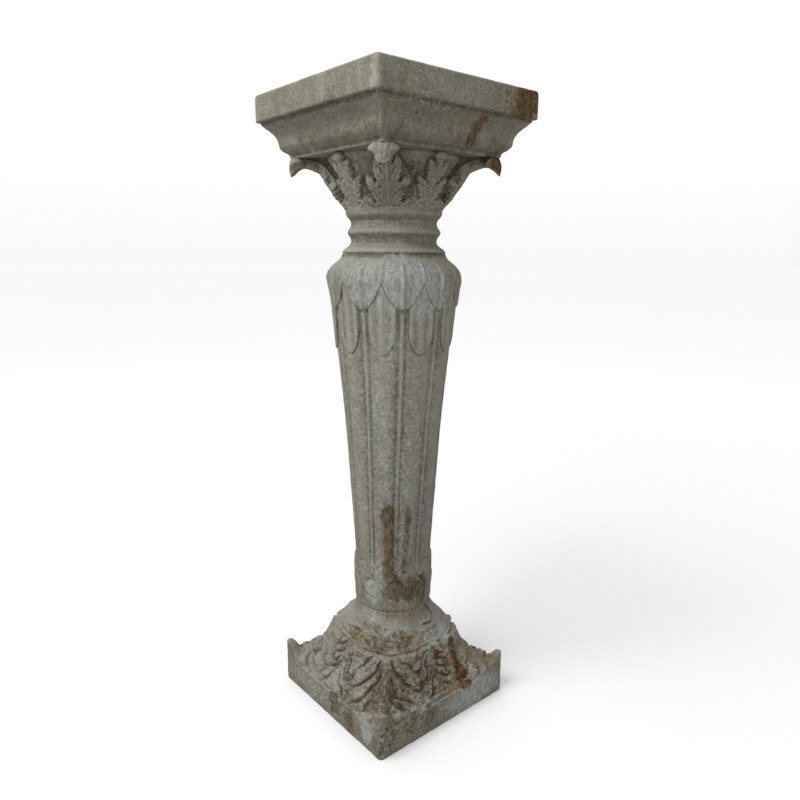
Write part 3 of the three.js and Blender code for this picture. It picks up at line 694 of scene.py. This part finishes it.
def moulded_slab(skin):
    under = CAPITAL_HEIGHT - SLAB_HEIGHT
    mould = curve_through([
        (0, 115.0), (3.6, 115.2), (5.0, 116.0), (7.5, 117.6), (11, 122.8), (16.5, 126.6), (23.5, 127.8),
        (28.5, 129.2), (33.5, 131.7), (39.5, 136.2), (43.5, 140.4), (47.5, 144.2), (50, 146.4),
        (MOULD_HEIGHT, 147.0),
    ])
    levels = [(mould(height), SOFFIT + height, 1.4) for height in np.linspace(0, MOULD_HEIGHT, 46)]
    half = SLAB_SIDE / 2
    levels += [
        (half - 3.5, under, 3.0), (half - 1.4, under + 0.3, 3.4), (half - 0.5, under + 1.2, 4.0),
        (half, under + 3, 4.6),
    ]
    levels += [(half, height, 5.0) for height in np.linspace(under + 6, CAPITAL_HEIGHT - 6, 14)]
    levels += [
        (half - 0.3, CAPITAL_HEIGHT - 3.6, 5.0), (half - 1.2, CAPITAL_HEIGHT - 1.6, 4.6),
        (half - 2.6, CAPITAL_HEIGHT - 0.5, 4.2), (half - 4.5, CAPITAL_HEIGHT, 4.0),
    ]
    levels += [(half * share, CAPITAL_HEIGHT, 4.0 * share) for share in np.linspace(0.9, 0.04, 16)]
    ring = square_grid(levels)
    ring[..., 2] += CAPITAL_FLOOR
    # Painted shadow under the slab's edge, at the moulding's foot and on its lower part; painted highlight
    # just above the slab's lower edge and on the arrises
    rise = np.array([level[1] for level in levels])[:, None]
    shading_and_soiling = hump(rise, under - 1.5, 3.4) + 0.5 * hump(rise, SOFFIT + 5, 2.0)
    shading_and_soiling = shading_and_soiling - 0.4 * hump(rise, under + 1.5, 1.5) + 0.12 * smooth(rise, under, under - 3)
    shading_and_soiling = shading_and_soiling + 0.25 * smooth(rise, SOFFIT + 30, SOFFIT + 20)
    around = np.max(np.abs(ring[..., :2]), axis=-1)
    across = np.min(np.abs(ring[..., :2]), axis=-1)
    arris = smooth(across / around, 0.93, 1.0)
    skin.grid(ring, np.clip(shading_and_soiling - 0.55 * arris, -1, 1))


def corner_leaves(skin):
    foot = NECK_HEIGHT
    base_radius = NECK_TOP_RADIUS
    reach = CORNER_LEAF_REACH - 2.0
    leaf(
        skin, (45, 135, 225, 315),
        path=[
            (base_radius - 5, foot - 1), (base_radius + 7, foot + 13), (base_radius + 20, foot + 28),
            (base_radius + 28, foot + 39), (reach - 51, SOFFIT - 19), (reach - 36, SOFFIT - 12),
            (reach - 21, SOFFIT - 8.5), (reach - 12, SOFFIT - 9),
        ],
        half_width=curve_through([
            (0, 33), (0.16, 35), (0.36, 33), (0.52, 25), (0.66, 15.5), (0.78, 12), (1, 11.5),
        ]),
        lobes=[
            (-22, 40, 50, 11, 2.5), (-12, 24, 52, 9, 3.0), (8, 36, 50, 11, 3.5), (18, 18, 52, 9, 3.5),
            (40, 25, 42, 9, 4.0), (58, 10, 34, 7, 2.0),
        ],
        stem=(7.0, 5.0), lobe_height=4.3,
        depth=lambda t: mix(5.0, 1.0, smooth(t, 0.2, 0.5)),
        droop=lambda t: 0.5 + 8.5 * hump(t, 0.5, 0.2) + 3.5 * smooth(t, 0.5, 0.9),
        body=lambda t: mix(26, 14, smooth(t, 0.78, 0.95)), share=0.75,
        wrap=lambda t: 1 - smooth(t, 0.3, 0.6), rows=170,
    )
    curled_head(
        skin, (45, 135, 225, 315),
        outline=[
            (reach - 28, SOFFIT - 13), (reach - 20, SOFFIT - 13.5), (reach - 12, SOFFIT - 18),
            (reach - 6.5, SOFFIT - 22.5), (reach - 3, SOFFIT - 26), (reach - 0.8, SOFFIT - 22),
            (reach, SOFFIT - 15.5), (reach - 0.8, SOFFIT - 9), (reach - 3, SOFFIT - 3),
            (reach - 7, SOFFIT + 1), (reach - 16, SOFFIT + 2), (reach - 26, SOFFIT - 1),
        ],
        centre=(reach - 14, SOFFIT - 8), half_width=21.5, lobe_drop=1.0,
    )


def face_leaves(skin):
    foot = NECK_HEIGHT
    base_radius = NECK_TOP_RADIUS
    leaf(
        skin, (0, 90, 180, 270),
        path=[
            (base_radius - 5, foot - 1), (base_radius, foot + 11), (base_radius + 8, foot + 29),
            (base_radius + 18, foot + 48), (base_radius + 26, SOFFIT - 13), (base_radius + 31, SOFFIT - 5),
        ],
        half_width=curve_through([(0, 32), (0.3, 35), (0.55, 32), (0.8, 22), (1, 14)]),
        lobes=[
            (-20, 38, 48, 10.5, 2.5), (-10, 22, 50, 8.5, 3.0), (8, 33, 46, 10.5, 3.5),
            (20, 15, 46, 8.5, 3.5), (36, 22, 38, 9, 4.0), (54, 5, 28, 7.5, 2.0),
        ],
        stem=(6.0, 5.2), lobe_height=4.6,
        depth=lambda t: 6.0 + 0 * t,
        droop=lambda t: mix(0.5, 3, t),
        body=lambda t: mix(18, 14, t), share=0.7,
        wrap=lambda t: 1 - smooth(t, 0.3, 0.9), rows=120,
    )
    tip = base_radius + 35.5
    curled_head(
        skin, (0, 90, 180, 270),
        outline=[
            (tip - 19, SOFFIT - 9), (tip - 13, SOFFIT - 9.5), (tip - 8, SOFFIT - 10.5),
            (tip - 3.5, SOFFIT - 12), (tip - 0.8, SOFFIT - 10.5), (tip, SOFFIT - 7),
            (tip - 1, SOFFIT - 3), (tip - 4, SOFFIT), (tip - 10, SOFFIT + 1), (tip - 18, SOFFIT - 1),
        ],
        centre=(tip - 9, SOFFIT - 6), half_width=9.5, lobe_drop=0.8, roundness=4.0, waist=0.9,
    )


def capital_pieces():
    body, corners, faces = Skin(), Skin(), Skin()
    neck_and_bell(body)
    moulded_slab(body)
    corner_leaves(corners)
    face_leaves(faces)
    return (
        body.mesh("cast_capital", rough=0.5), corners.mesh("cast_corner_leaves", rough=0.8),
        faces.mesh("cast_face_leaves", rough=0.8),
    )


# Finish: old paint, soiling and painted shade in the creases and recesses, painted shade and light by
# facing, flaked and rusted patches
def set_inputs(node, values):
    for label, value in values.items():
        node.inputs[label].default_value = value
    return node


def map_range(nodes, low, high, start, end):
    limits = {"From Min": low, "From Max": high, "To Min": start, "To Max": end}
    return set_inputs(nodes.new("ShaderNodeMapRange"), limits)


class Finish:
    """Node helpers of one material, with the object's own place as the noises' vector."""

    def __init__(self, name):
        self.material = bpy.data.materials.new(name)
        self.material.use_nodes = True
        self.nodes, self.links = self.material.node_tree.nodes, self.material.node_tree.links
        self.shader = self.nodes["Principled BSDF"]
        self.place = self.nodes.new("ShaderNodeTexCoord").outputs["Object"]

    def feed(self, socket, value):
        if isinstance(value, (int, float)):
            socket.default_value = value
        elif isinstance(value, tuple):
            socket.default_value = (*value, 1.0)
        else:
            self.links.new(value, socket)

    def attribute(self, name):
        node = self.nodes.new("ShaderNodeAttribute")
        node.attribute_name = name
        return node.outputs["Fac"]

    def noise(self, scale, detail=3.0, rough=0.55, stretch=(1, 1, 1), shift=(0, 0, 0)):
        vector = self.place
        if stretch != (1, 1, 1) or shift != (0, 0, 0):
            mapping = set_inputs(self.nodes.new("ShaderNodeMapping"), {"Scale": stretch, "Location": shift})
            self.links.new(vector, mapping.inputs["Vector"])
            vector = mapping.outputs["Vector"]
        node = self.nodes.new("ShaderNodeTexNoise")
        set_inputs(node, {"Scale": scale, "Detail": detail, "Roughness": rough})
        self.links.new(vector, node.inputs["Vector"])
        return node.outputs["Fac"]

    def span(self, value, low, high, start=0.0, end=1.0):
        node = map_range(self.nodes, low, high, start, end)
        node.interpolation_type = "SMOOTHSTEP"
        self.links.new(value, node.inputs["Value"])
        return node.outputs["Result"]

    def combine(self, operation, first, second):
        node = self.nodes.new("ShaderNodeMath")
        node.operation = operation
        self.feed(node.inputs[0], first)
        self.feed(node.inputs[1], second)
        return node.outputs["Value"]

    def blend(self, share, first, second):
        node = self.nodes.new("ShaderNodeMix")
        node.data_type = "RGBA"
        self.feed(node.inputs["Factor"], share)
        self.feed(node.inputs[6], first)
        self.feed(node.inputs[7], second)
        return node.outputs[2]

    def upward(self, vector):
        node = self.nodes.new("ShaderNodeSeparateXYZ")
        self.links.new(vector, node.inputs["Vector"])
        return node.outputs["Z"]


def old_paint(make):
    """Mottled, streaked and speckled grey-green paint, lighter on the crests, partly wear and partly
    painted highlight.
    """
    clouds = make.span(make.noise(7.0, 4.0), 0.4, 0.62)
    colour = make.blend(clouds, (0.160, 0.147, 0.108), (0.130, 0.131, 0.104))
    streaks = make.noise(26.0, 4.0, 0.6, (1, 1, 0.18))
    colour = make.blend(make.span(streaks, 0.5, 0.68, 0.0, 0.55), colour, (0.215, 0.212, 0.19))
    smears = make.noise(16.0, 5.0, 0.65)
    colour = make.blend(make.span(smears, 0.5, 0.62, 0.0, 0.4), colour, (0.125, 0.107, 0.072))
    blotch = make.noise(55.0, 5.0, 0.65)
    colour = make.blend(make.span(blotch, 0.5, 0.64, 0.0, 0.4), colour, (0.215, 0.205, 0.165))
    colour = make.blend(make.span(blotch, 0.48, 0.36, 0.0, 0.5), colour, (0.098, 0.088, 0.062))
    speckle = make.noise(300.0, 4.0, 0.75)
    colour = make.blend(make.span(speckle, 0.5, 0.66, 0.0, 0.55), colour, (0.30, 0.29, 0.25))
    colour = make.blend(make.span(speckle, 0.48, 0.34, 0.0, 0.65), colour, (0.075, 0.068, 0.048))
    # Lighter on crests and arrises, partly wear and partly painted highlight
    crest = make.span(make.attribute("shading_and_soiling"), 0.0, -0.6, 0.0, 0.4)
    return make.blend(crest, colour, (0.29, 0.285, 0.25))


def soiling_and_painted_shade(make, colour):
    """Soiling and painted shade in creases and recesses, painted shade on faces that look down, painted
    light on faces that look up, and darker towards the bottom.
    """
    # Soiling with painted shade where the point's shade value is high
    uneven = make.span(make.noise(60.0, 4.0), 0.35, 0.7, -0.25, 0.25)
    soiling_and_shade = make.combine("ADD", make.attribute("shading_and_soiling"), uneven)
    colour = make.blend(make.span(soiling_and_shade, 0.15, 0.95, 0.0, 0.85), colour, (0.056, 0.047, 0.028))
    # Painted shade in recesses, from ambient occlusion
    ambient = set_inputs(make.nodes.new("ShaderNodeAmbientOcclusion"), {"Distance": 0.02})
    ambient.samples = 8
    recess = make.span(ambient.outputs["AO"], 0.72, 0.2, 0.0, 0.62)
    colour = make.blend(recess, colour, (0.052, 0.044, 0.026))
    low_down = make.span(make.upward(make.place), 0.62, 0.28, 0.0, 0.24)
    colour = make.blend(low_down, colour, (0.07, 0.066, 0.05))
    # Painted shade on faces that look down
    facing = make.upward(make.nodes.new("ShaderNodeNewGeometry").outputs["Normal"])
    colour = make.blend(make.span(facing, 0.02, -0.75, 0.0, 0.48), colour, (0.064, 0.055, 0.034))
    # Painted light on faces that look up
    return make.blend(make.span(facing, 0.2, 0.8, 0.0, 0.4), colour, (0.30, 0.297, 0.26))


def patches(make, colour):
    """The stains of the patches below over the paint, and how far the paint has flaked."""
    flaked = 0.0
    for name, low, high, tint, second in (
        # Lighter bluish paint, on the shaft and its shoulder partly a painted highlight
        ("bluish_paint_and_highlight", 0.15, 0.85, (0.28, 0.291, 0.27), (0.176, 0.184, 0.167)),
        # Lighter yellowish tone, at the slab's near arris partly a painted highlight
        ("yellow_tone_and_highlight", 0.15, 0.85, (0.27, 0.256, 0.21), (0.2, 0.186, 0.148)),
        ("tan", 0.15, 0.75, (0.212, 0.168, 0.11), (0.13, 0.1, 0.058)),
        ("rust", 0.25, 0.85, (0.128, 0.048, 0.009), (0.029, 0.014, 0.005)),
        ("brown", 0.3, 0.72, (0.038, 0.029, 0.015), (0.118, 0.095, 0.054)),
    ):
        shift = (0.31 * low, 0.17 * high, 1.3 * tint[0])
        ragged = make.span(make.noise(150.0, 7.0, 0.78, shift=shift), 0.34, 0.66, -0.42, 0.42)
        spread = make.combine("ADD", make.attribute(name), ragged)
        mottle = make.span(make.noise(190.0, 6.0, 0.8, (1, 1, 0.45), shift), 0.43, 0.57)
        tone = make.blend(mottle, tint, second)
        colour = make.blend(make.span(spread, low, high, 0.0, 0.92), colour, tone)
        if name in ("brown", "rust"):
            flaked = make.combine("ADD", flaked, make.span(spread, low, high))
    return colour, flaked


def grain(make, flaked):
    """Fine grain of the brushed paint, and a rough crust where it has flaked."""
    coarse = make.combine("MULTIPLY", make.noise(190.0, 4.0, 0.6), 1.3)
    grains = make.combine("ADD", make.noise(700.0, 4.0, 0.7), coarse)
    crust = make.combine("SUBTRACT", make.noise(260.0, 5.0, 0.75), 0.9)
    crust = make.combine("MULTIPLY", make.combine("MULTIPLY", flaked, crust), 1.2)
    bump = set_inputs(make.nodes.new("ShaderNodeBump"), {"Strength": 0.5, "Distance": 0.0016})
    make.links.new(make.combine("ADD", grains, crust), bump.inputs["Height"])
    return bump.outputs["Normal"]


def paint_material():
    # Worn paint, with painted shade and light in its colour
    make = Finish("worn_paint")
    set_inputs(make.shader, {"Roughness": 0.82, "Metallic": 0.0, "Specular IOR Level": 0.12})
    colour, flaked = patches(make, soiling_and_painted_shade(make, old_paint(make)))
    make.links.new(colour, make.shader.inputs["Base Color"])
    make.links.new(grain(make, flaked), make.shader.inputs["Normal"])
    return make.material


# Patches of each stain as (x, y, z, three radii, strength), in millimetres in the row frame
STAINS = {
    "rust": [
        (153, 122, 980, 10, 20, 26, 1.25), (153, 142, 990, 12, 16, 24, 1.2),
        (153, 98, 962, 8, 8, 14, 0.6), (140, 46, 952, 8, 9, 10, 0.8), (131, 42, 939, 7, 9, 12, 0.8),
        (125, 38, 923, 8, 9, 13, 0.7), (106, 90, 905, 12, 12, 8, 0.85), (122, 99, 897, 13, 13, 11, 0.95),
        (121, 113, 888, 9, 9, 11, 0.95), (89, 48, 879, 8, 8, 12, 0.6), (84, 41, 860, 9, 9, 12, 0.55),
        (72, 38, 845, 10, 10, 9, 0.55), (102, 13, 101, 13, 10, 9, 0.65), (98, 52, 105, 8, 9, 16, 0.85),
        (106, 51, 89, 9, 10, 14, 1.0), (115, 52, 75, 12, 10, 12, 1.05), (126, 48, 61, 11, 14, 12, 1.1),
        (135, 50, 48, 8, 14, 9, 0.9), (103, 11, 106, 7, 7, 8, 0.8), (107, 25, 86, 7, 7, 9, 0.7),
        (113, 63, 68, 11, 11, 18, 0.5), (43, -53, 345, 5, 5, 12, 0.35), (95, -121, 65, 16, 16, 10, 0.45),
        (60, -139, 36, 8, 6, 17, 0.45),
    ],
    "brown": [
        (80, -33, 878, 16, 16, 24, 0.5), (80, -48, 849, 14, 14, 11, 0.5),
        (135, -72, 944, 26, 26, 13, 0.35), (52, -153, 967, 26, 12, 15, 0.3),
        (48, -50, 349, 12, 12, 22, 1.1), (48, -47, 306, 11, 11, 30, 1.1),
        (46, -46, 261, 10, 10, 30, 1.05), (65, -23, 342, 6, 6, 26, 0.85), (62, -24, 300, 5, 5, 24, 0.7),
        (60, -26, 258, 6, 6, 18, 0.75), (61, -47, 463, 5, 5, 70, 0.28), (66, -52, 560, 5, 5, 50, 0.22),
        (55, -39, 221, 14, 14, 22, 1.2), (65, -17, 216, 14, 14, 24, 1.2), (66, 7, 212, 12, 12, 28, 1.2),
        (4, -85, 133, 19, 16, 15, 0.55), (52, -74, 133, 26, 26, 16, 0.65),
        (74, -46, 136, 24, 24, 16, 0.6), (29, -69, 149, 30, 20, 9, 0.5), (100, -84, 78, 42, 42, 36, 0.66),
        (117, -16, 75, 36, 36, 26, 0.66), (153, 140, 985, 10, 13, 26, 0.5),
        (50, -131, 54, 30, 22, 18, 0.5), (15, -139, 32, 18, 14, 24, 0.75),
        (57, -139, 21, 17, 14, 20, 0.7), (139, -120, 38, 24, 26, 30, 0.5),
        (139, -75, 38, 20, 26, 24, 0.5), (139, -36, 30, 14, 14, 20, 0.6),
        (136, -138, 19, 18, 18, 16, 0.5), (140, 46, 952, 8, 11, 12, 0.75),
        (131, 43, 938, 8, 11, 18, 0.85), (124, 38, 922, 9, 11, 16, 0.75), (153, 116, 975, 8, 26, 24, 0.5),
        (153, 84, 975, 8, 26, 24, 0.3),
    ],
    "tan": [
        (44, -50, 290, 9, 9, 60, 0.8), (60, -23, 169, 30, 30, 13, 0.5), (110, 100, 69, 24, 24, 30, 0.8),
        (100, 84, 92, 16, 16, 18, 0.7), (139, 52, 50, 14, 16, 12, 0.4), (126, 126, 60, 16, 16, 20, 0.5),
        (116, 112, 62, 26, 20, 26, 0.75), (153, 118, 975, 10, 40, 26, 0.6),
        (132, 45, 934, 10, 13, 26, 0.6), (80, 60, 880, 20, 24, 24, 0.35), (22, -90, 130, 28, 24, 15, 0.6),
        (84, -28, 130, 28, 28, 15, 0.6), (70, 40, 800, 34, 44, 40, 0.3), (120, 22, 68, 28, 36, 28, 0.8),
        (139, -100, 36, 12, 40, 30, 0.5), (92, -40, 100, 46, 60, 34, 0.34),
        (88, -92, 76, 62, 56, 40, 0.42), (70, -30, 130, 40, 60, 16, 0.35), (104, 20, 92, 22, 24, 26, 0.4),
    ],
    "yellow_tone_and_highlight": [
        # Lighter yellowish tone; the patch at the slab's near arris is partly a painted highlight
        (112, -112, 862, 28, 28, 28, 0.95), (0, -100, 872, 36, 26, 36, 0.5),
        (-40, -96, 880, 40, 40, 44, 0.4), (147, -153, 974, 9, 8, 28, 0.75),
        (147, -60, 974, 12, 90, 28, 0.3), (120, -120, 52, 30, 30, 18, 0.45),
        (128, -50, 60, 20, 40, 20, 0.45),
    ],
    # Lighter bluish paint; the patches on the shaft and its shoulder are partly painted highlight
    "bluish_paint_and_highlight": [
        (0, 0, 470, 130, 130, 330, 0.3), (58, -62, 640, 24, 24, 70, 0.55),
        (62, -57, 705, 34, 34, 28, 1.0), (30, -77, 690, 24, 24, 30, 0.6), (88, 5, 700, 24, 24, 26, 0.75),
        (48, -92, 735, 40, 34, 24, 0.8), (84, -57, 738, 40, 40, 26, 1.1),
        (103, -17, 729, 26, 34, 28, 1.15), (48, -62, 540, 18, 18, 60, 0.6),
        (44, -60, 430, 16, 16, 60, 0.4), (30, -60, 250, 18, 18, 50, 0.45),
        (18, -75, 450, 14, 14, 90, 0.35), (24, -64, 215, 18, 18, 24, 0.85),
        (66, -40, 430, 10, 10, 60, 0.35), (17, -62, 168, 22, 22, 14, 0.55),
        (86, 42, 127, 16, 16, 14, 0.7), (88, 13, 128, 16, 18, 15, 0.5), (36, -103, 88, 12, 12, 16, 0.9),
        (116, -32, 76, 10, 12, 20, 0.65), (103, -139, 34, 14, 10, 22, 1.15),
        (92, -139, 49, 12, 10, 14, 0.8), (139, 62, 26, 14, 62, 26, 1.0), (-60, -139, 25, 60, 14, 22, 0.4),
        (139, -132, 24, 14, 12, 18, 0.5), (139, -95, 36, 12, 44, 30, 0.5),
        (40, -112, 64, 24, 24, 18, 0.3), (100, -84, 70, 44, 44, 34, 0.4),
        (20, -139, 34, 50, 10, 26, 0.35), (96, -70, 92, 22, 22, 22, 0.35),
        (50, -68, 708, 46, 40, 30, 0.95), (92, -22, 700, 24, 34, 30, 0.95),
    ],
}


def stain(piece, points):
    for name, rows in STAINS.items():
        amount = np.zeros(len(points))
        for *measures, strength in rows:
            centre, radii = np.array(measures[:3]), np.array(measures[3:])
            distance = np.linalg.norm((points - centre) / radii, axis=1)
            amount = np.maximum(amount, strength * (1 - smooth(distance, 0.5, 1.5)))
        attribute = piece.data.attributes.new(name, "FLOAT", "POINT")
        attribute.data.foreach_set("value", amount.astype(np.float32))


finish = paint_material()
pieces = [("base", base_piece()), ("shaft", shaft_piece())]
pieces += [("capital", piece) for piece in capital_pieces()]
for node, (piece, points) in pieces:
    piece.data.materials.append(finish)
    stain(piece, points)
    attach(piece, "root")
    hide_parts(node)

# Camera at the photograph's viewing angle
CAMERA_DISTANCE = 1.0765
CAMERA_HEIGHT = 0.7619
CAMERA_AZIMUTH = math.radians(50.4)
CAMERA_PAN = 0.010
CAMERA_PITCH = 0.2146
CAMERA_ROLL = -0.005
FOCAL_PIXELS = 664.73
FRAME_PIXELS = 800
KEY_AZIMUTH = CAMERA_AZIMUTH - math.radians(55)


def add_camera():
    data = bpy.data.cameras.new("view")
    data.sensor_width = 36.0
    data.lens = FOCAL_PIXELS / FRAME_PIXELS * data.sensor_width
    data.clip_start = 0.02
    camera = bpy.data.objects.new("view", data)
    pan, pitch, roll = CAMERA_PAN, CAMERA_PITCH, CAMERA_ROLL
    level = Vector((math.cos(pan), -math.sin(pan), 0))
    ahead = Vector((math.sin(pan) * math.cos(pitch), math.cos(pan) * math.cos(pitch), -math.sin(pitch)))
    above = level.cross(ahead)
    right = level * math.cos(roll) - above * math.sin(roll)
    up = level * math.sin(roll) + above * math.cos(roll)
    turn = Matrix.Rotation(CAMERA_AZIMUTH, 4, "Z")
    pose = Matrix((right, up, -ahead)).transposed().to_4x4()
    pose.translation = Vector((0, -CAMERA_DISTANCE, CAMERA_HEIGHT))
    camera.matrix_world = turn @ pose
    bpy.context.scene.collection.objects.link(camera)
    bpy.context.scene.camera = camera


def add_light(name, size, power, azimuth, height, reach):
    data = bpy.data.lights.new(name, "AREA")
    data.size = size
    data.energy = power
    lamp = bpy.data.objects.new(name, data)
    lamp.location = (reach * math.sin(azimuth), -reach * math.cos(azimuth), height)
    lamp.rotation_euler = (Vector((0, 0, 0.7)) - lamp.location).to_track_quat("-Z", "Y").to_euler()
    bpy.context.scene.collection.objects.link(lamp)


def add_floor():
    bpy.ops.mesh.primitive_circle_add(vertices=96, radius=60, fill_type="NGON")
    floor = bpy.context.object
    floor.name = "floor"
    material = bpy.data.materials.new("pale_floor")
    material.use_nodes = True
    nodes, links = material.node_tree.nodes, material.node_tree.links
    shader = set_inputs(nodes["Principled BSDF"], {"Roughness": 0.9})
    distance = nodes.new("ShaderNodeVectorMath")
    distance.operation = "LENGTH"
    # The floor is painted darker near the column, a painted shade round it, and lighter far off
    tone = map_range(nodes, 0.5, 3.0, 0.78, 0.99)
    links.new(nodes.new("ShaderNodeTexCoord").outputs["Object"], distance.inputs[0])
    links.new(distance.outputs["Value"], tone.inputs["Value"])
    links.new(tone.outputs["Result"], shader.inputs["Base Color"])
    floor.data.materials.append(material)


def add_world():
    """Pale all round, dimmer on the camera's right and a little towards the horizon."""
    world = bpy.data.worlds.new("studio")
    world.use_nodes = True
    nodes, links = world.node_tree.nodes, world.node_tree.links
    backdrop = set_inputs(nodes["Background"], {"Color": (1, 1, 1, 1)})
    outlook = nodes.new("ShaderNodeTexCoord").outputs["Generated"]
    side = nodes.new("ShaderNodeVectorMath")
    side.operation = "DOT_PRODUCT"
    side.inputs[1].default_value = (math.cos(CAMERA_AZIMUTH), math.sin(CAMERA_AZIMUTH), 0)
    dimmed = map_range(nodes, 0.5, 0.85, 1.04, 0.27)
    horizon = map_range(nodes, 0.0, 0.16, 0.905, 1.0)
    level = nodes.new("ShaderNodeSeparateXYZ")
    strength = nodes.new("ShaderNodeMath")
    strength.operation = "MULTIPLY"
    links.new(outlook, level.inputs["Vector"])
    links.new(level.outputs["Z"], horizon.inputs["Value"])
    links.new(outlook, side.inputs[0])
    links.new(side.outputs["Value"], dimmed.inputs["Value"])
    links.new(dimmed.outputs["Result"], strength.inputs[0])
    links.new(horizon.outputs["Result"], strength.inputs[1])
    links.new(strength.outputs["Value"], backdrop.inputs["Strength"])
    bpy.context.scene.world = world


add_camera()
add_light("key", size=1.4, power=46.0, azimuth=KEY_AZIMUTH, height=2.45, reach=1.4)
add_floor()
add_world()
bpy.context.scene.view_settings.view_transform = "Standard"
